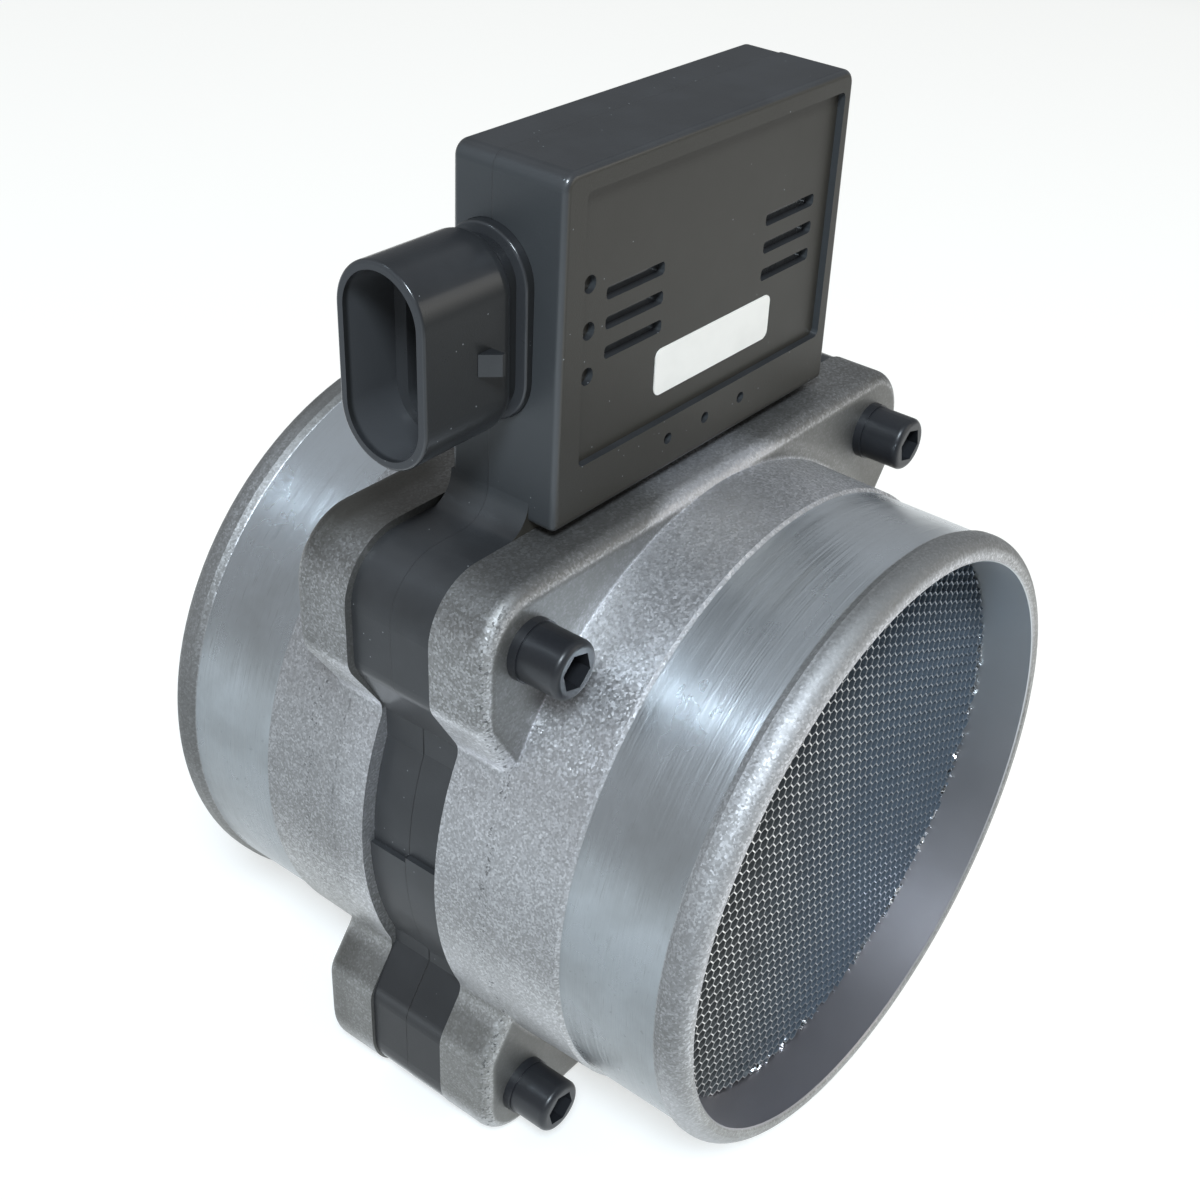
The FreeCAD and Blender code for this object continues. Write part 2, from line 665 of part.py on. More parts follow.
def inlet_honeycomb():
    front = -(SPACER_HALF + INLET_LENGTH - COMB_RECESS)
    back = front + COMB_THICKNESS
    radius = BORE_R - PRESS_GAP
    disc = rod(radius, front, back)
    flat = CELL_PITCH - CELL_WEB
    tilt = math.radians(CELL_ANGLE)
    column = CELL_PITCH * math.sqrt(3) / 2
    rows = int(2 * radius / CELL_PITCH)
    cells = []
    for i in range(-rows, rows + 1):
        for j in range(-rows, rows + 1):
            along = i * column
            across = (j + 0.5 * (i % 2)) * CELL_PITCH
            if math.hypot(along, across) + flat / math.sqrt(3) > radius - COMB_RIM:
                continue
            x = along * math.cos(tilt) - across * math.sin(tilt)
            z = along * math.sin(tilt) + across * math.cos(tilt)
            cells.append(hexagon(x, z, flat, CELL_ANGLE, front - PAST, back + PAST))
    return disc.cut(Part.makeCompound(cells))


def outlet_screen():
    back = SPACER_HALF + OUTLET_LENGTH - SCREEN_RECESS
    front = back - SCREEN_THICKNESS
    radius = BORE_R - PRESS_GAP
    disc = rod(radius, front, back)
    count = int(radius / SCREEN_PITCH) + 1
    hole = (SCREEN_PITCH - SCREEN_BAR) / 2
    gaps = []
    for i in range(-count, count + 1):
        for j in range(-count, count + 1):
            x = i * SCREEN_PITCH
            z = j * SCREEN_PITCH
            if math.hypot(abs(x) + hole, abs(z) + hole) < radius - SCREEN_RIM:
                gaps.append(block((x - hole, x + hole), (front - PAST, back + PAST), (z - hole, z + hole)))
    return disc.cut(Part.makeCompound(gaps))


def snap_ring():
    front = SPACER_HALF + OUTLET_LENGTH - SCREEN_RECESS
    back = front + SNAP_RING_THICKNESS
    radius = BORE_R - PRESS_GAP
    ring = rod(radius, front, back).cut(rod(radius - SNAP_RING_WIDTH, front - PAST, back + PAST))
    half = radius * math.tan(math.radians(SNAP_RING_GAP_ANGLE / 2))
    wedge = [(0, 0), (-half, -radius - PAST), (half, -radius - PAST)]
    return ring.cut(prism(wedge, front - PAST, back + PAST))


# Sensing carrier

def sensing_carrier():
    blade = block((-CARRIER_HALF_WIDTH, CARRIER_HALF_WIDTH), (-CARRIER_HALF_DEPTH, CARRIER_HALF_DEPTH),
                  (0, CARRIER_TOP - FIT))
    ring = rod(RING_IN_R + RING_WALL, -RING_HALF_LENGTH, RING_HALF_LENGTH)
    window = soft_slot(-WINDOW_HALF_WIDTH, WINDOW_Z, 2 * WINDOW_HALF_WIDTH, WINDOW_HEIGHT,
                       -CARRIER_HALF_DEPTH - PAST, CARRIER_HALF_DEPTH + PAST, WINDOW_HALF_WIDTH - WINDOW_END_FLAT)
    hollow = rod(RING_IN_R, -RING_HALF_LENGTH - PAST, RING_HALF_LENGTH + PAST)
    return blade.fuse(ring).removeSplitter().cut([hollow, window])


def sensing_posts():
    # Upright pins that hang from the top of the sampling ring
    reach = RING_IN_R
    posts = []
    for y in (-POST_Y, POST_Y):
        for x in (-POST_X, POST_X):
            top = math.sqrt(reach * reach - (abs(x) + POST_R) ** 2)
            low = WIRE_Z / 2
            posts.append(Part.makeCylinder(POST_R, top - low, Vector(x, y, low)))
    return posts


def sensing_wires():
    wires = []
    for y in (-POST_Y, POST_Y):
        length = 2 * (POST_X - POST_R)
        wires.append(Part.makeCylinder(WIRE_R, length, Vector(-length / 2, y, WIRE_Z), AXIS_X))
    return wires


def air_temperature_bead():
    height = WINDOW_HEIGHT / 2 - 2 * FIT
    bead = Part.makeSphere(BEAD_SENSOR_R, Vector(0, 0, WINDOW_Z))
    legs = [Part.makeCylinder(LEG_R, height, Vector(x, 0, WINDOW_Z)) for x in (-LEG_X, LEG_X)]
    return bead.fuse(legs)


def lead_frame():
    # Strips from the head of the carrier up to the lower edge of the board
    first = -(LEAD_COUNT - 1) * LEAD_PITCH / 2
    leads = []
    for index in range(LEAD_COUNT):
        x = first + index * LEAD_PITCH
        leads.append(block((x - LEAD_WIDTH / 2, x + LEAD_WIDTH / 2), (BOARD_FRONT_Y - LEAD_THICKNESS, BOARD_FRONT_Y),
                           (CARRIER_TOP - FIT, BOARD_LOW + LEAD_LAP)))
    return leads


def save(name, shape):
    if isinstance(shape, list):
        shape = Part.makeCompound(shape)
    shape.exportStep("parts/" + name + ".step")


os.makedirs("parts", exist_ok=True)
save("inlet_casting", casting(INLET, INLET_LENGTH, INLET_BEAD))
save("outlet_casting", casting(OUTLET, OUTLET_LENGTH, OUTLET_BEAD))
save("housing_front", housing_front())
save("housing_rear", housing_rear())
save("connector_shell", connector_shell())
save("connector_blades", blades(0.0))
save("circuit_board", circuit_board())
save("hybrid_chip", hybrid_chip())
save("board_components", board_components())
save("potting_gel", potting_gel())
save("label", label())
save("clamp_screws", [clamp_screw(x, z) for x, z in screw_places()])
save("lock_washers", [lock_washer(x, z) for x, z in screw_places()])
save("inlet_seal", joint_seal(INLET))
save("outlet_seal", joint_seal(OUTLET))
save("inlet_honeycomb", inlet_honeycomb())
save("outlet_screen", outlet_screen())
save("snap_ring", snap_ring())
save("sensing_carrier", sensing_carrier())
save("sensing_posts", sensing_posts())
save("sensing_wires", sensing_wires())
save("air_temperature_bead", air_temperature_bead())
save("lead_frame", lead_frame())
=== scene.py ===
import json
import math
from types import SimpleNamespace
import bmesh
import bpy
from mathutils import Matrix, Vector

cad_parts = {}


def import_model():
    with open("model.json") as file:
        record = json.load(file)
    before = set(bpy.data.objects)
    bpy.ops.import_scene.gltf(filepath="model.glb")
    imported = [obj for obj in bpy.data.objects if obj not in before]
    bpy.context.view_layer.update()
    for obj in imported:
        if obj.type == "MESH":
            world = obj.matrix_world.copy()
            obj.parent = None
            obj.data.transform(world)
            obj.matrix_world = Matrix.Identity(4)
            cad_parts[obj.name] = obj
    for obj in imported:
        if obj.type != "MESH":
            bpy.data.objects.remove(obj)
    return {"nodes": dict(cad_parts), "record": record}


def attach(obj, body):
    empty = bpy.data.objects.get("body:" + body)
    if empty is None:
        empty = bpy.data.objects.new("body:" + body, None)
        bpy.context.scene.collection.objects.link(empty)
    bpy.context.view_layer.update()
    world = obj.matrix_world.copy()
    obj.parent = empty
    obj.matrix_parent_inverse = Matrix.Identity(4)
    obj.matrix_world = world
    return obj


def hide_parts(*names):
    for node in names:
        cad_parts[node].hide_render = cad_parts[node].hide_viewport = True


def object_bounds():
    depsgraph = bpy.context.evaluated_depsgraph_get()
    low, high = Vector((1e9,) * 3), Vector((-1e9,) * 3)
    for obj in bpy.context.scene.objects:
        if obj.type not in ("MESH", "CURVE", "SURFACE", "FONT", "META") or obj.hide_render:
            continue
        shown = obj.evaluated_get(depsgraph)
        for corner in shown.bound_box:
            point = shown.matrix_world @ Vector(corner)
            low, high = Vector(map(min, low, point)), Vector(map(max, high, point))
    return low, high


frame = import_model()
cadBox = [list(corner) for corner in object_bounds()]
nodes = frame["nodes"]
mm = 0.001
print("frame loaded with", len(nodes), "nodes")


# Shader maths: an expression on these values adds its nodes to the material

class Value:
    def __init__(self, tree, socket):
        self.tree = tree
        self.socket = socket

    def math(self, operation, *others):
        node = self.tree.nodes.new("ShaderNodeMath")
        node.operation = operation
        for socket, given in zip(node.inputs, (self, *others)):
            plug(self.tree, socket, given)
        return Value(self.tree, node.outputs[0])

    def __add__(self, other):
        return self.math("ADD", other)

    def __sub__(self, other):
        return self.math("SUBTRACT", other)

    def __rsub__(self, other):
        return constant(self, other).math("SUBTRACT", self)

    def __mul__(self, other):
        return self.math("MULTIPLY", other)

    def __truediv__(self, other):
        return self.math("DIVIDE", other)

    def __pow__(self, other):
        return self.math("POWER", other)

    def __neg__(self):
        return self.math("MULTIPLY", -1.0)

    def __gt__(self, other):
        return self.math("GREATER_THAN", other)

    def __lt__(self, other):
        return self.math("LESS_THAN", other)

    __radd__ = __add__
    __rmul__ = __mul__

    def most(self, other):
        return self.math("MAXIMUM", other)

    def least(self, other):
        return self.math("MINIMUM", other)

    def size(self):
        return self.math("ABSOLUTE")

    def root(self):
        return self.math("SQRT")

    def rise(self, start, end):  # 0 below start, 1 above end, smooth between
        return make(self.tree, "ShaderNodeMapRange", {"interpolation_type": "SMOOTHSTEP"},
                    {"Value": self, "From Min": start, "From Max": end}, "Result")

    def between(self, low, high, soft):  # 1 inside a span
        return self.rise(low - soft, low + soft) * (1 - self.rise(high - soft, high + soft))


def constant(like, number):
    node = like.tree.nodes.new("ShaderNodeValue")
    node.outputs[0].default_value = number
    return Value(like.tree, node.outputs[0])


def plug(tree, socket, given):
    if isinstance(given, Value):
        tree.links.new(given.socket, socket)
    else:
        socket.default_value = given


def make(tree, kind, settings, inputs, output):
    node = tree.nodes.new(kind)
    for name, setting in settings.items():
        setattr(node, name, setting)
    for name, given in inputs.items():
        plug(tree, node.inputs[name], given)
    return Value(tree, node.outputs[output])


def mixColours(tree, share, first, second):
    node = tree.nodes.new("ShaderNodeMix")
    node.data_type = "RGBA"
    sockets = (node.inputs[0], node.inputs[6], node.inputs[7])  # the factor and the two colours
    for socket, given in zip(sockets, (share, first, second)):
        plug(tree, socket, (*given, 1) if isinstance(given, tuple) else given)
    return Value(tree, node.outputs[2])


def tinted(colour, share):
    return tuple(channel * share for channel in colour)


class Finish:
    # One material, with its coordinates in millimetres and its shader's sockets
    def __init__(self, name):
        self.material = bpy.data.materials.new(name)
        self.material.use_nodes = True
        self.tree = self.material.node_tree
        self.shader = self.tree.nodes["Principled BSDF"]
        place = self.make("ShaderNodeTexCoord", {}, {}, "Object")
        self.place = self.vectorMath("SCALE", {0: place, "Scale": 1 / mm})
        parts = self.tree.nodes.new("ShaderNodeSeparateXYZ")
        plug(self.tree, parts.inputs[0], self.place)
        self.x, self.y, self.z = (Value(self.tree, socket) for socket in parts.outputs)
        self.radius = (self.x * self.x + self.z * self.z).root()  # from the duct's axis

    def make(self, kind, settings, inputs, output=0):
        return make(self.tree, kind, settings, inputs, output)

    def vector(self, x, y, z):
        return self.make("ShaderNodeCombineXYZ", {}, {0: x, 1: y, 2: z})

    def vectorMath(self, operation, inputs):
        return self.make("ShaderNodeVectorMath", {"operation": operation}, inputs)

    def noise(self, scale, detail=2.0, roughness=0.5, place=None):
        return self.make("ShaderNodeTexNoise", {}, {"Vector": place or self.place, "Scale": scale,
                         "Detail": detail, "Roughness": roughness}, "Fac")

    def voronoi(self, scale, output):
        return self.make("ShaderNodeTexVoronoi", {}, {"Vector": self.place, "Scale": scale}, output)

    def cells(self, scale):  # each cell has one shade
        return self.make("ShaderNodeSeparateColor", {}, {0: self.voronoi(scale, "Color")}, 0)

    def facets(self, scale, tilt):  # each grain leans its own way
        lean = self.vectorMath("SUBTRACT", {0: self.voronoi(scale, "Color"), 1: (0.5, 0.5, 0.5)})
        return self.vectorMath("SCALE", {0: lean, "Scale": tilt})

    def mix(self, share, first, second):
        return mixColours(self.tree, share, first, second)

    def layered(self, colour, *layers):  # each layer is a share and a colour, over those before it
        for share, tint in layers:
            colour = self.mix(share, colour, tint)
        return colour

    def bump(self, height, depth, normal=None):
        inputs = {"Height": height, "Distance": depth * mm}
        if normal:
            inputs["Normal"] = normal
        return self.make("ShaderNodeBump", {}, inputs)

    def normal(self):
        return self.make("ShaderNodeNewGeometry", {}, {}, "Normal")

    def facing(self, axis):  # 1 where the surface looks along the axis, -1 against it
        return self.make("ShaderNodeSeparateXYZ", {}, {0: self.normal()}, axis)

    def tilted(self, lean):
        return self.vectorMath("NORMALIZE", {0: self.vectorMath("ADD", {0: self.normal(), 1: lean})})

    def paint(self, **sockets):
        for name, given in sockets.items():
            plug(self.tree, self.shader.inputs[name.replace("_", " ")], given)
        return self.material


# Cast and turned aluminium

castLook = {
    "skin": (0.38, 0.375, 0.36),        # calm grey of the cast skin
    "skinBright": (0.86, 0.86, 0.9),    # crests of the grain, and the painted highlight and painted floor light
    "skinDark": (0.17, 0.165, 0.155),   # pits of the grain
    "white": (1.0, 1.0, 1.0),           # painted glints on the finest grain
    "paintedShade": (0.1, 0.095, 0.085),        # painted shade on the ears' tops, under the connector and on the outlet side
    "shadow": (0.02, 0.02, 0.015),
    "pit": (0.08, 0.08, 0.08),
    "bead": (0.22, 0.215, 0.205),       # darker tone painted as shade on the crest of the rolled ends outside the bands
    "band": (0.56, 0.59, 0.62),         # turned clamp bands
    "bandPale": (0.66, 0.69, 0.72),
    "bandDull": (0.44, 0.455, 0.465),
    # painted light on the bands' upward faces
    "paintedBandTopLight": (0.8, 0.84, 0.88),
    "bandShadow": (0.03, 0.035, 0.03),
    "wall": (0.62, 0.65, 0.67),         # inside of the bore
    "wallLow": (0.42, 0.4, 0.42),
    "metallic": 0.92,
    "skinRough": 0.42,
    "bandRough": 0.24,
    "wallRough": 0.38,
    "beadRough": 0.16,                  # added on the beads
    "earRough": 0.08,                   # added on the ears and lugs
    "broadRough": 0.08,                 # added in the dull clouds
    "leftShade": 0.42,                  # how much painted shade darkens the left flank
    "bandShade": 0.5,
    "frontShade": 0.42,                 # painted shade on the flange's front
    "topShade": 0.62,                   # painted shade on the flange's top
    "rearShade": 0.2,                   # painted shade on the outlet casting
    "earShade": 0.25,                   # painted shadow on the ear under the connector
    "pitShade": 0.7,
    "seamShade": 0.6,
    "underShine": 0.2,                  # light from the floor
    "litShine": 0.42,                   # where the key light rakes over the grain
}
castGrain = {
    "perMm": 4.0,                       # grains per millimetre
    "cells": 0.75,                      # share of the grain that is crisp, the rest is soft
    "tilt": 0.24,
    "beadTilt": 0.8,                    # share of the tilt that the beads keep
    "faceTilt": 0.25,                   # and the flange's faces
    "dimTilt": 0.25,                    # and the side away from the light
    "depth": 0.006,
    "pitDepth": 12,                     # how many grains deep a pit is
    "lines": 60.0,                      # turning lines per millimetre of a band
    "lineStretch": 0.06,
    "lineTilt": 1.0,
}
castNoise = {                           # scale per millimetre, detail and roughness
    "blotch": (0.09, 3.0, 0.6),
    "smear": (0.35, 3.0, 0.65),
    "pits": (1.9, 2.0, 0.6),
    "ragged": (0.25, 3.0, 0.7),
    "seam": (0.9, 2.0, 0.6),
    "broad": (0.13, 3.0, 0.6),
    "specks": (0.9, 2.0, 0.6),
    "nicks": (2.4, 2.0, 0.6),
}
castPlaces = {                          # millimetres
    "bands": ((-37.8, -24.4), (23.0, 36.4)),  # clamp bands along Y
    "bandRound": (39.9, 40.62),         # radii between which they lie
    "bore": (38.15, 38.3),              # radius at which the bore's wall ends
    "beadEdge": 0.2,                    # from a band's end to its bead
    "beadRound": (38.3, 38.5),
    "beadCrest": (39.0, 40.0),
    "face": (41.0, 41.6),               # radius at which the flange's faces begin
    "ears": (42.5, 44.0),               # and the ears and lugs
    "light": (0.45, 0.8),               # how far the light comes from the left and from above
    "lit": (-6, 30),
    "pitRings": (-13.2, 15.6),          # where the mould left its pits, along Y
    "pitHalf": 0.6,
    "pitSide": (-34, -28),
    # middle and reach of the painted shadow of the connector on the outlet's ear
    "connectorEar": (-30, 10, 41.5),
    "earReach": (5, 11),
    "rear": (8, 12),                    # where the painted shade on the outlet casting begins
    "underEnd": (6, 10),                # where the light from the floor ends
    "seam": {"y": 10.9, "half": 0.12, "wander": 1.6, "turn": (-116, -64)},  # on the outlet casting
    "wallLow": (-20, 34),               # from the bore's upper half to its darker bottom
}
squareOn = {                            # how squarely a surface looks along its axis, none to all
    "face": (0.93, 0.99),
    "front": (0.8, 0.95),
    "left": (0.1, 0.6),
    "flank": (0.25, 0.95),
    "aboveFlank": (0.05, 0.6),
    "under": (0.0, 0.35),
    "flangeTop": (0.2, 0.7),
    "paintedBandTopLight": (0.6, 0.95),
}


def castZones(skin, places, grain):  # how strongly each stretch of a casting shows, from 0 to 1
    zone = SimpleNamespace()
    inlet, outlet = places["bands"]
    spans = sum(skin.y.between(low, high, 0.12) for low, high in places["bands"])
    zone.band = spans * skin.radius.between(*places["bandRound"], 0.03)
    zone.wall = 1 - skin.radius.rise(*places["bore"])
    zone.turned = zone.band.most(zone.wall)
    zone.cast = 1 - zone.turned
    zone.ears = skin.radius.rise(*places["ears"])
    zone.face = skin.facing(1).size().rise(*squareOn["face"]) * skin.radius.rise(*places["face"])
    fromLeft, fromAbove = places["light"]
    zone.lit = (skin.z * fromAbove - skin.x * fromLeft).rise(*places["lit"]) * (1 - zone.ears * 0.5)
    zone.left = (-skin.facing(0)).rise(*squareOn["left"])
    pastRear = skin.y.rise(outlet[1], outlet[1] + places["beadEdge"])
    pastFront = (-skin.y).rise(-inlet[0], -inlet[0] + places["beadEdge"])
    zone.bead = zone.cast * (pastRear + pastFront) * skin.radius.rise(*places["beadRound"])
    above = skin.facing(2).rise(*squareOn["aboveFlank"])
    zone.flank = (-skin.facing(0)).rise(*squareOn["flank"]) * (1 - above)
    zone.under = (-skin.facing(2)).rise(*squareOn["under"])
    zone.grainy = zone.cast * (1 - zone.face * (1 - grain["faceTilt"]))
    # the grain is real; its stronger colour on the side towards the light is painted sparkle
    zone.grainy = zone.grainy * (zone.lit * (1 - grain["dimTilt"]) + grain["dimTilt"])
    zone.grainy = zone.grainy * (1 - zone.bead * (1 - grain["beadTilt"]))
    return zone


def mouldPits(skin, places, zone):
    rings = sum(skin.y.between(ring - places["pitHalf"], ring + places["pitHalf"], 0.3)
                for ring in places["pitRings"])
    holes = skin.noise(*castNoise["pits"]).rise(0.6, 0.63)
    return rings * holes * (1 - skin.x.rise(*places["pitSide"])) * zone.cast * zone.left


def mouldSeam(skin, seam, zone):  # a ragged line round the left side
    turn = skin.x.math("ARCTAN2", skin.z).math("DEGREES")
    ragged = skin.y + (skin.noise(*castNoise["ragged"]) - 0.5) * seam["wander"]
    line = ragged.between(seam["y"] - seam["half"], seam["y"] + seam["half"], 0.12)
    broken = skin.noise(*castNoise["seam"]).rise(0.5, 0.56)
    return line * zone.cast * zone.left * turn.between(*seam["turn"], 2) * broken


def paintedBeadShade(skin):  # painted shade on the beads' crests, heavier to the right, low down and behind; less on the upper left of the inlet's bead, where its grain shines
    right = skin.x.rise(-26, -6) * 0.5
    low = (-skin.z).rise(24, 38) * 0.4
    behind = skin.y.rise(0, 1) * 0.3
    return (right + 0.25 + low + behind).least(0.85)


def castColour(skin, look, places, zone, grain, pits):
    blotch = skin.noise(*castNoise["blotch"]).rise(0.35, 0.7)
    smear = skin.noise(*castNoise["smear"]).rise(0.55, 0.75)
    fromEar = zip((skin.x, skin.y, skin.z), places["connectorEar"])
    away = sum((part - at) ** 2 for part, at in fromEar).root()
    # painted shade: over the outlet casting, in the connector's shadow on its ear, and on the flanges'
    # tops
    paintedShade = skin.y.rise(*places["rear"]) * look["rearShade"]
    paintedShade = paintedShade + (1 - away.rise(*places["earReach"])) * look["earShade"]
    paintedShade = paintedShade + zone.ears * skin.facing(2).rise(*squareOn["flangeTop"]) * look["topShade"]
    # painted shade on the left flank and on the flange's front faces
    shadow = zone.flank * (1 - zone.under) * look["leftShade"]
    shadow = shadow + zone.face * (-skin.facing(1)).rise(*squareOn["front"]) * look["frontShade"]
    marks = (pits + mouldSeam(skin, places["seam"], zone) * look["seamShade"]).least(1.0)
    floorLight = zone.under * zone.left * look["underShine"] * (1 - skin.y.rise(*places["underEnd"]))
    return skin.layered(
        skin.mix(grain.rise(0.2, 0.85), look["skinDark"], look["skinBright"]),
        (1 - zone.grainy * 0.6, look["skin"]),
        # painted glints, strongest on the lit side
        (grain.rise(0.72, 0.8) * zone.grainy * 0.5, look["white"]),
        (blotch * 0.25, look["skinDark"]),
        (smear * 0.12, look["skinBright"]),
        # painted highlight where the key light rakes over the grain
        (zone.lit * zone.grainy * look["litShine"], look["skinBright"]),
        (zone.bead * skin.radius.rise(*places["beadCrest"]) * paintedBeadShade(skin), look["bead"]),
        (floorLight, look["skinBright"]),
        (paintedShade, look["paintedShade"]),
        (shadow, look["shadow"]),
        (marks * look["pitShade"], look["pit"]),
    )


def turnedColour(skin, look, places, zone, broad):
    around = skin.vector(skin.x / skin.radius * 9, skin.y * 6, skin.z / skin.radius * 9)
    streaks = skin.noise(1.0, 2.0, 0.7, around)
    specks = skin.noise(*castNoise["specks"]).rise(0.68, 0.72)
    nicks = skin.noise(*castNoise["nicks"]).rise(0.7, 0.73)
    wall = skin.mix((-skin.z).rise(*places["wallLow"]), look["wall"], look["wallLow"])
    return skin.layered(
        look["band"],
        (streaks.rise(0.35, 0.7) * 0.35, look["bandPale"]),
        (streaks.rise(0.6, 0.7) * 0.3, look["skinDark"]),
        (broad.rise(0.4, 0.7) * 0.5, look["bandDull"]),
        (specks.most(nicks) * (1 - zone.lit * 0.9) * 0.7, look["skinDark"]),
        # painted light on the bands' upward faces
        (skin.facing(2).rise(*squareOn["paintedBandTopLight"]) * 0.5, look["paintedBandTopLight"]),
        (zone.flank * look["bandShade"], look["bandShadow"]),
        (zone.wall, wall),
    )


def castNormal(skin, grain, zone, shade, pits):  # leaning grains on the skin, fine lines on the bands
    stretch = grain["lineStretch"]
    across = skin.vector(skin.x * stretch, skin.y * grain["lines"], skin.z * stretch)
    lines = skin.noise(1.0, 0.0, 0.5, across)
    comb = skin.vector(0.0, (lines - 0.5) * zone.band * grain["lineTilt"], 0.0)
    lean = skin.vectorMath("ADD", {0: skin.facets(grain["perMm"], grain["tilt"] * zone.grainy), 1: comb})
    return skin.bump(shade * zone.grainy - pits * grain["pitDepth"], grain["depth"], skin.tilted(lean))


def castAluminium(look, places, grain):
    skin = Finish("castAluminium")
    zone = castZones(skin, places, grain)
    crisp, soft = skin.cells(grain["perMm"]), skin.noise(grain["perMm"] * 2, 2.0, 0.6)
    shade = crisp * grain["cells"] + soft * (1 - grain["cells"])
    pits = mouldPits(skin, places, zone)
    broad = skin.noise(*castNoise["broad"])
    skinColour = castColour(skin, look, places, zone, shade, pits)
    colour = skin.mix(zone.turned, skinColour, turnedColour(skin, look, places, zone, broad))
    rough = look["skinRough"] * zone.cast + look["bandRough"] * zone.band + look["wallRough"] * zone.wall
    rough = rough + broad * look["broadRough"] + zone.bead * look["beadRough"]
    rough = rough + zone.cast * zone.ears * look["earRough"]
    return skin.paint(Base_Color=colour, Roughness=rough, Metallic=look["metallic"],
                      Normal=castNormal(skin, grain, zone, shade, pits))


# Black mouldings

housingLook = {
    "base": (0.027, 0.028, 0.03),
    # warmer tone painted on the front faces, as light
    "front": (0.034, 0.031, 0.0255),
    "side": (0.05, 0.054, 0.058),       # paler bluish tone painted on its left side, as light
    "rough": 0.34,
    "shine": 0.32,
    "parting": 1.0,                     # it has the line between the two halves
    "hollow": 0.0,
}
plugLook = {
    "base": (0.02, 0.021, 0.023),
    # tone painted on the front faces, as light
    "front": (0.019, 0.0195, 0.02),
    # paler bluish tone painted on its left side, as light
    "side": (0.046, 0.048, 0.052),
    "rough": 0.22,
    "shine": 0.16,
    "parting": 0.0,
    "hollow": 1.0,                      # it has the connector's mouth
}
mouldingLook = {
    "low": (0.008, 0.008, 0.009),       # painted shade on the lower part of the spacer
    "lowFrom": (8, 30),
    "cloudy": 1.6,                      # how much paler the clouds are
    "sideFrom": (38, 46),               # height above which the painted light on the left side shows
    "nub": (-9.0, -5.7),                # latch nub along Y
    "mouth": (0.06, 0.062, 0.066),      # paler tone painted inside the connector, as light
    "mouthMiddle": 65.2,
    "mouthStraight": 5.1,               # half the height of its straight sides
    "mouthRound": (5.1, 5.3),           # radius of its ends
    "mouthSpan": (-40.2, -28.6),        # along X
    "joint": (0.002, 0.002, 0.002),
    "jointHalf": 0.06,
    "jointFades": (16, 20),             # height above which it is faint
    "jointDepth": 12,
    "edgeFrom": (0.9, 0.99),            # surfaces square to an axis aren't edges
    "edgeCoat": 0.7,                    # rounded edges are polished
    "edgeRough": 0.16,
    "dust": (0.3, 0.31, 0.32),
    "dustScale": 1.1,
    "dustSize": 0.09,
    "dustChosen": 0.9,                  # cells above this shade hold a grain of dust
    "grainDepth": 0.012,
}


def roundedEdges(skin, look):
    flat = skin.facing(0).size().most(skin.facing(1).size()).most(skin.facing(2).size())
    return 1 - flat.rise(*look["edgeFrom"])


def connectorMouth(skin, look):  # a slot with round ends, along X
    over = ((skin.z - look["mouthMiddle"]).size() - look["mouthStraight"]).most(0.0)
    inside = 1 - (over * over + skin.y * skin.y).root().rise(*look["mouthRound"])
    return inside * skin.x.between(*look["mouthSpan"], 0.3)


def blackPlastic(name, own, look):
    skin = Finish(name)
    cloud = skin.noise(0.12, 3.0, 0.6)
    fine = skin.noise(5.0, 2.0, 0.6)
    near = skin.voronoi(look["dustScale"], "Distance") < look["dustSize"]
    dust = near * (skin.cells(look["dustScale"]) > look["dustChosen"])
    paintedSideLightArea = skin.z.rise(*look["sideFrom"]) * (1 - skin.y.between(*look["nub"], 0.1) * own["hollow"])
    faint = 1 - skin.z.rise(*look["jointFades"]) * 0.75
    joint = skin.y.between(-look["jointHalf"], look["jointHalf"], 0.04) * own["parting"] * faint
    colour = skin.layered(
        own["base"],
        (cloud.rise(0.35, 0.7) * 0.5, tinted(own["base"], look["cloudy"])),
        # front faces: tone painted as light
        ((-skin.facing(1)).rise(0.8, 0.95), own["front"]),
        # painted shade towards the bottom
        ((-skin.z).rise(*look["lowFrom"]) * 0.7, look["low"]),
        # painted light on the upper left side, away from the latch nub
        ((-skin.facing(0)).rise(0.5, 0.95) * paintedSideLightArea, own["side"]),
        (dust * 0.6, look["dust"]),
        (joint, look["joint"]),
        # painted light inside the connector's mouth
        (connectorMouth(skin, look) * own["hollow"], look["mouth"]),
    )
    height = fine + cloud * 3 - joint * look["jointDepth"]
    coat = roundedEdges(skin, look) * look["edgeCoat"]
    return skin.paint(Base_Color=colour, Roughness=own["rough"] + cloud * 0.1 + fine * 0.05,
                      Specular_IOR_Level=own["shine"], Coat_Weight=coat, Coat_Roughness=look["edgeRough"],
                      Normal=skin.bump(height, look["grainDepth"]))


# Small plain finishes

def plainFinish(name, colour, rough, metallic=0.0, mottle=0.15, scale=1.5):
    skin = Finish(name)
    cloud = skin.noise(scale, 2.0, 0.5)
    shade = skin.mix(cloud.rise(0.3, 0.75) * mottle, colour, tinted(colour, 0.6))
    return skin.paint(Base_Color=shade, Roughness=rough + cloud * 0.08, Metallic=metallic)


def wetGel(name):
    skin = Finish(name)
    colour = skin.mix(skin.noise(0.5, 2.0, 0.5), (0.02, 0.022, 0.025), (0.05, 0.053, 0.056))
    return skin.paint(Base_Color=colour, Roughness=0.12, Specular_IOR_Level=0.6)


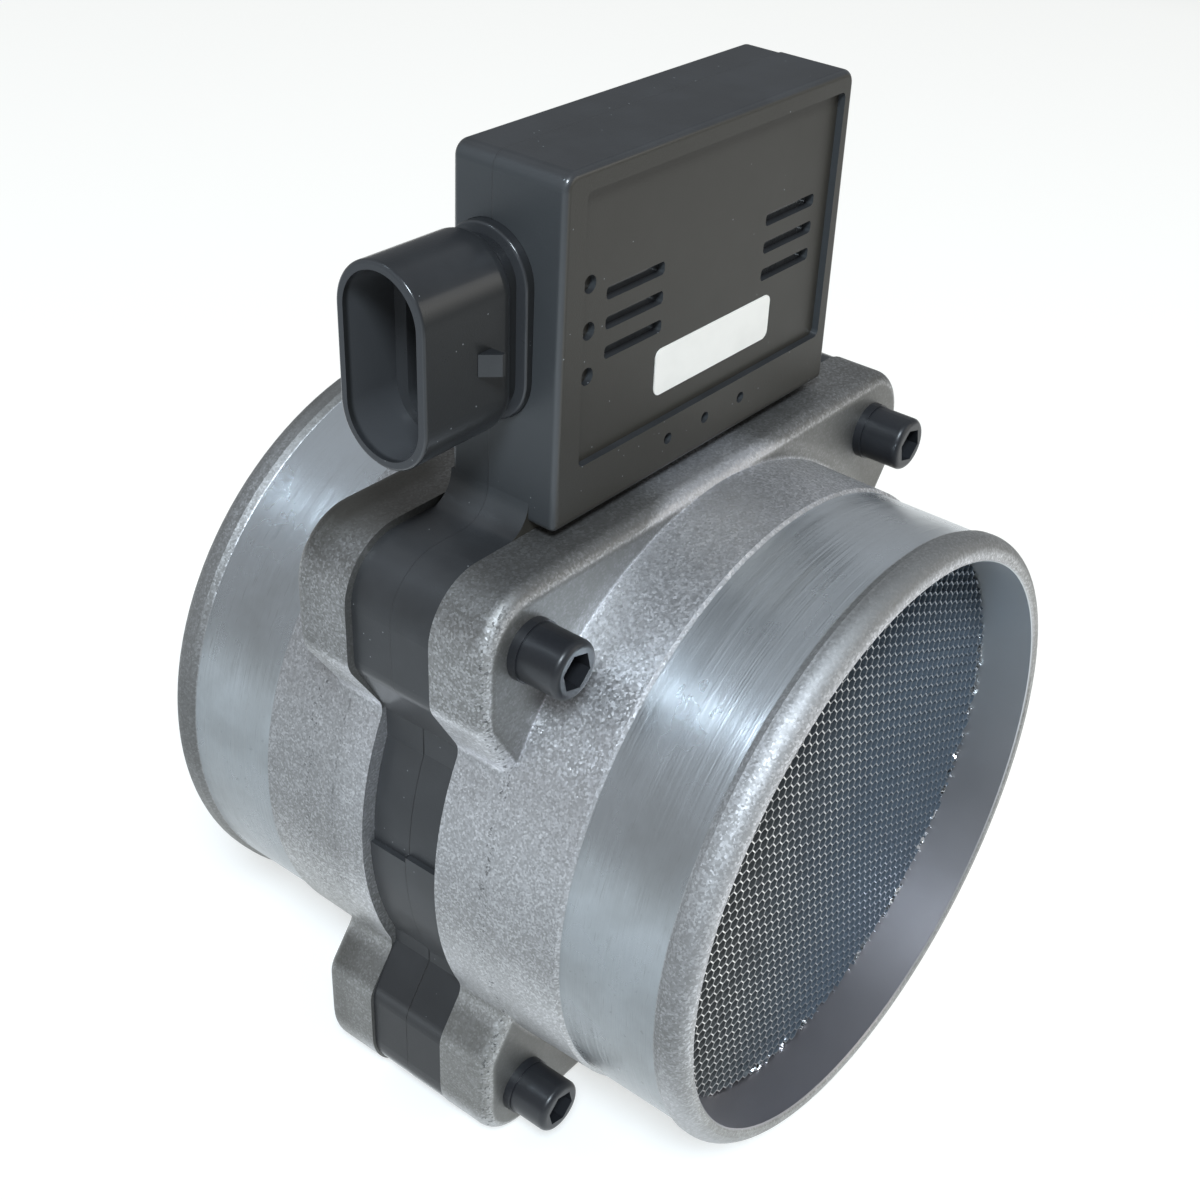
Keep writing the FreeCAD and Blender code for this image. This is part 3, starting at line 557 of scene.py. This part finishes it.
finishes = {
    "cast_aluminium": castAluminium(castLook, castPlaces, castGrain),
    "black_plastic": blackPlastic("housingPlastic", housingLook, mouldingLook),
    "connector_plastic": blackPlastic("plugPlastic", plugLook, mouldingLook),
    "tinned_metal": plainFinish("tinnedBlade", (0.6, 0.6, 0.58), 0.3, metallic=1.0),
    "board_ceramic": plainFinish("boardCeramic", (0.75, 0.75, 0.72), 0.55),
    "component_resin": plainFinish("componentResin", (0.03, 0.03, 0.033), 0.5),
    "clear_gel": wetGel("clearGel"),
    "label_film": plainFinish("labelFilm", (0.89, 0.85, 0.79), 0.45, mottle=0.1, scale=0.3),
    "black_steel": plainFinish("blackSteel", (0.016, 0.017, 0.02), 0.3, mottle=0.3, scale=3.0),
    "seal_rubber": plainFinish("sealRubber", (0.02, 0.02, 0.02), 0.6),
    "foil": plainFinish("foil", (0.42, 0.43, 0.43), 0.4, metallic=1.0),
    "stainless": plainFinish("stainless", (0.55, 0.55, 0.55), 0.3, metallic=1.0),
    "carrier_plastic": plainFinish("carrierPlastic", (0.03, 0.03, 0.03), 0.45),
}
slotOf = {part["node"]: part["material_slot"] for part in frame["record"]["subparts"]}
for name, piece in nodes.items():
    piece.data.materials.clear()
    piece.data.materials.append(finishes[slotOf[name]])
print("finishes set on", len(nodes), "nodes")


# Fine honeycomb of the flow straightener, which stands in for the coarse one of the frame

foilSheet = {
    "stepRight": (1.531, -0.699),   # from one cell to its neighbours, X and Z
    "stepUp": (-0.372, 1.615),
    "innerR": 38.05,
    "front": -34.3,
    "depth": 10.0,
    "start": (-0.2, 0.18),
    "wall": 0.07,
    "bondedWall": 0.17,             # two foils glued together
    "cornerOverlap": 0.4,           # of a wall's thickness, so that walls meet at corners
    "reach": 40,                    # cells looked at on each side of the axis
    # painted shade on the cell walls behind their cut edges, paler and bluer towards the right
    "inside": (0.19, 0.188, 0.18),
    "insideFar": (0.24, 0.29, 0.35),
    "edge": (0.78, 0.77, 0.75),
    "bondedEdge": (0.95, 0.93, 0.9),
    # painted shade on the cut edges towards the right
    "edgeFar": (0.34, 0.37, 0.4),
    "edgeDepth": (0.02, 0.12),      # how far in the bright cut edge reaches
    "farFrom": (-26, 16),           # where the cells' painted shading turns, along X, leaning a little with Z
    "farLean": 0.15,
    "crumple": (0.95, 0.95, 0.95),  # bent foil along the lower right of the bore
    "crumpledFrom": 36.9,
    "crumpledSide": (-14, -8),
    "crumpledTop": (2, 16),
    "crumpleTilt": 2.4,
    "rough": 0.4,
    "metallic": 0.9,
}


def circumcentre(a, b, c):
    ab, ac = b - a, c - a
    cross = 2 * (ab.x * ac.y - ab.y * ac.x)
    across = Vector((ac.y * ab.length_squared - ab.y * ac.length_squared,
                     ab.x * ac.length_squared - ac.x * ab.length_squared))
    return a + across / cross


def cellWall(sheet, start, end, thickness, look):
    along = end - start
    middle = (start + end) / 2
    turn = Matrix.Rotation(-math.atan2(along.y, along.x), 4, "Y")
    length = along.length + thickness * look["cornerOverlap"]
    size = Matrix.Diagonal((length, look["depth"], thickness, 1))
    place = Matrix.Translation((middle.x, look["front"] + look["depth"] / 2, middle.y))
    made = bmesh.ops.create_cube(sheet, size=1.0, matrix=Matrix.Scale(mm, 4) @ place @ turn @ size)
    if thickness == look["bondedWall"]:
        for face in {face for corner in made["verts"] for face in corner.link_faces}:
            face.material_index = 1


def fineHoneycomb(look):
    right, up = Vector(look["stepRight"]), Vector(look["stepUp"])
    upper = circumcentre(Vector((0, 0)), right, right + up)
    lower = circumcentre(Vector((0, 0)), right + up, up)
    walls = (
        (upper, lower, look["bondedWall"]),
        (upper, lower - up, look["wall"]),
        (lower, upper - right, look["wall"]),
    )
    mesh = bpy.data.meshes.new("foilCells")
    whole = bmesh.new()
    for row in range(-look["reach"], look["reach"] + 1):
        strip = bmesh.new()
        for column in range(-look["reach"], look["reach"] + 1):
            corner = Vector(look["start"]) + right * column + up * row
            for start, end, thickness in walls:
                if ((start + end) / 2 + corner).length < look["innerR"]:
                    cellWall(strip, start + corner, end + corner, thickness, look)
        strip.to_mesh(mesh)
        whole.from_mesh(mesh)
        strip.free()
    whole.to_mesh(mesh)
    whole.free()
    piece = bpy.data.objects.new("foilCells", mesh)
    bpy.context.collection.objects.link(piece)
    return piece


def foilFinish(name, look, edgeColour):
    skin = Finish(name)
    shallow, deep = look["edgeDepth"]
    edge = 1 - skin.y.rise(look["front"] + shallow, look["front"] + deep)
    # towards the right the cells' painted shading changes
    far = (skin.x - skin.z * look["farLean"]).rise(*look["farFrom"])
    cloud = skin.noise(0.25, 3.0, 0.6).rise(0.45, 0.7)
    spots = skin.noise(2.0, 2.0, 0.6)
    # painted shade inside the cells, behind the bright cut edge
    inside = skin.mix(far, look["inside"], look["insideFar"])
    rim = skin.layered(edgeColour, (far, look["edgeFar"]), (cloud * 0.5, inside))
    crumpled = skin.radius.rise(look["crumpledFrom"], look["crumpledFrom"] + 0.5)
    crumpled = crumpled * (1 - skin.z.rise(*look["crumpledTop"])) * skin.x.rise(*look["crumpledSide"])
    crumpled = crumpled * skin.noise(0.6, 2.0, 0.5).rise(0.46, 0.53)
    colour = skin.layered(inside, (edge, rim), (crumpled, look["crumple"]))
    return skin.paint(Base_Color=colour, Roughness=look["rough"] + spots * 0.2 - crumpled * 0.35,
                      Metallic=look["metallic"],
                      Normal=skin.tilted(skin.facets(2.2, crumpled * look["crumpleTilt"])))


foilCells = fineHoneycomb(foilSheet)
foilCells.data.materials.append(foilFinish("cellFoil", foilSheet, foilSheet["edge"]))
foilCells.data.materials.append(foilFinish("bondedFoil", foilSheet, foilSheet["bondedEdge"]))
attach(foilCells, "root")
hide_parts("inlet_honeycomb")
print("honeycomb made with", len(foilCells.data.polygons), "faces")


# Floor, light and camera

studio = {
    "sheet": (0.53, 0.52, 0.5),         # pale sheet under the part
    "sheetLeft": (0.5, 0.523, 0.535),
    "sheetTurns": (-120, 60),           # where its left colour turns to the other, along X
    "table": (0.2, 0.2, 0.19),          # around the sheet
    "sheetCentre": (180, 130),
    "sheetFade": (380, 720),            # millimetres from its centre
    "floorSize": 8.0,
    "floorGap": 0.0002,                 # below the part
    "floorGlow": 1.05,
    "worldLow": (0.3, 0.31, 0.32),
    "worldHigh": (0.34, 0.36, 0.38),
    "worldTurns": (0.25, 0.9),
    "lightsAim": (0, 0, 0.01),
    "keyPower": 22.4,
    "keySize": 0.4,
    "keyColour": (0.8, 0.91, 1.0),
    "keyPlace": (-0.72, -0.60, 1.17),
    "fillPower": 0.7,
    "fillSize": 0.5,
    "fillColour": (1.0, 0.97, 0.9),
    "fillPlace": (0.38, -0.62, 0.2),
    "backPower": 1.2,                   # low light from behind, for the lines across the bands
    "backSize": 0.16,
    "backColour": (0.72, 0.87, 1.0),
    "backPlace": (-0.72, 0.6, 1.17),
}


def floor(look):
    mesh = bpy.data.meshes.new("floor")
    sheet = bmesh.new()
    bmesh.ops.create_grid(sheet, x_segments=1, y_segments=1, size=look["floorSize"] / 2)
    bmesh.ops.translate(sheet, verts=sheet.verts, vec=(0, 0, cadBox[0][2] - look["floorGap"]))
    sheet.to_mesh(mesh)
    sheet.free()
    piece = bpy.data.objects.new("floor", mesh)
    skin = Finish("floor")
    centreX, centreY = look["sheetCentre"]
    away = ((skin.x - centreX) ** 2 + (skin.y - centreY) ** 2).root()
    colour = skin.mix(skin.x.rise(*look["sheetTurns"]), look["sheetLeft"], look["sheet"])
    colour = skin.mix(away.rise(*look["sheetFade"]), colour, look["table"])
    mesh.materials.append(skin.paint(Base_Color=colour, Emission_Color=colour, Roughness=0.9,
                                     Emission_Strength=look["floorGlow"], Specular_IOR_Level=0.1))
    bpy.context.collection.objects.link(piece)
    return piece


def softLight(name, look, kind):
    data = bpy.data.lights.new(name, "AREA")
    data.energy = look[kind + "Power"]
    data.shape = "DISK"
    data.size = look[kind + "Size"]
    data.color = look[kind + "Colour"]
    light = bpy.data.objects.new(name, data)
    light.location = look[kind + "Place"]
    light.rotation_mode = "QUATERNION"
    aim = Vector(look["lightsAim"]) - light.location
    light.rotation_quaternion = aim.to_track_quat("-Z", "Y")
    bpy.context.collection.objects.link(light)
    return light


def world(look):  # darker near the horizon than overhead
    made = bpy.data.worlds.new("studio")
    made.use_nodes = True
    tree = made.node_tree
    way = make(tree, "ShaderNodeTexCoord", {}, {}, "Generated")
    height = make(tree, "ShaderNodeSeparateXYZ", {}, {0: way}, 2).rise(*look["worldTurns"])
    colour = mixColours(tree, height, look["worldLow"], look["worldHigh"])
    plug(tree, tree.nodes["Background"].inputs["Color"], colour)
    bpy.context.scene.world = made


view = {
    "place": (-0.148056, -0.110659, 0.140112),
    "azimuth": 54.870,     # degrees round from the inlet side
    "elevation": 34.943,
    "roll": -4.0255,
    "lens": 51.682,
    "sensor": 36.0,
    "shift": (-0.0492, 0.0416),
    "clip": (0.005, 50),
}


def camera(look):
    azimuth, elevation, roll = (math.radians(look[key]) for key in ("azimuth", "elevation", "roll"))
    level = math.cos(elevation)
    back = Vector((-math.sin(azimuth) * level, -math.cos(azimuth) * level, math.sin(elevation)))
    right = (-back).cross(Vector((0, 0, 1))).normalized()
    up = back.cross(right)
    side = right * math.cos(roll) - up * math.sin(roll)
    top = right * math.sin(roll) + up * math.cos(roll)
    data = bpy.data.cameras.new("camera")
    data.lens = look["lens"]
    data.sensor_width = look["sensor"]
    data.shift_x, data.shift_y = look["shift"]
    data.clip_start, data.clip_end = look["clip"]
    made = bpy.data.objects.new("camera", data)
    turn = Matrix((side, top, back)).transposed().to_4x4()
    made.matrix_world = Matrix.Translation(look["place"]) @ turn
    bpy.context.collection.objects.link(made)
    bpy.context.scene.camera = made


floor(studio)
softLight("keyLight", studio, "key")
softLight("fillLight", studio, "fill")
softLight("backLight", studio, "back")
world(studio)
camera(view)
bpy.context.scene.view_settings.view_transform = "Standard"
print("floor, light and camera set")
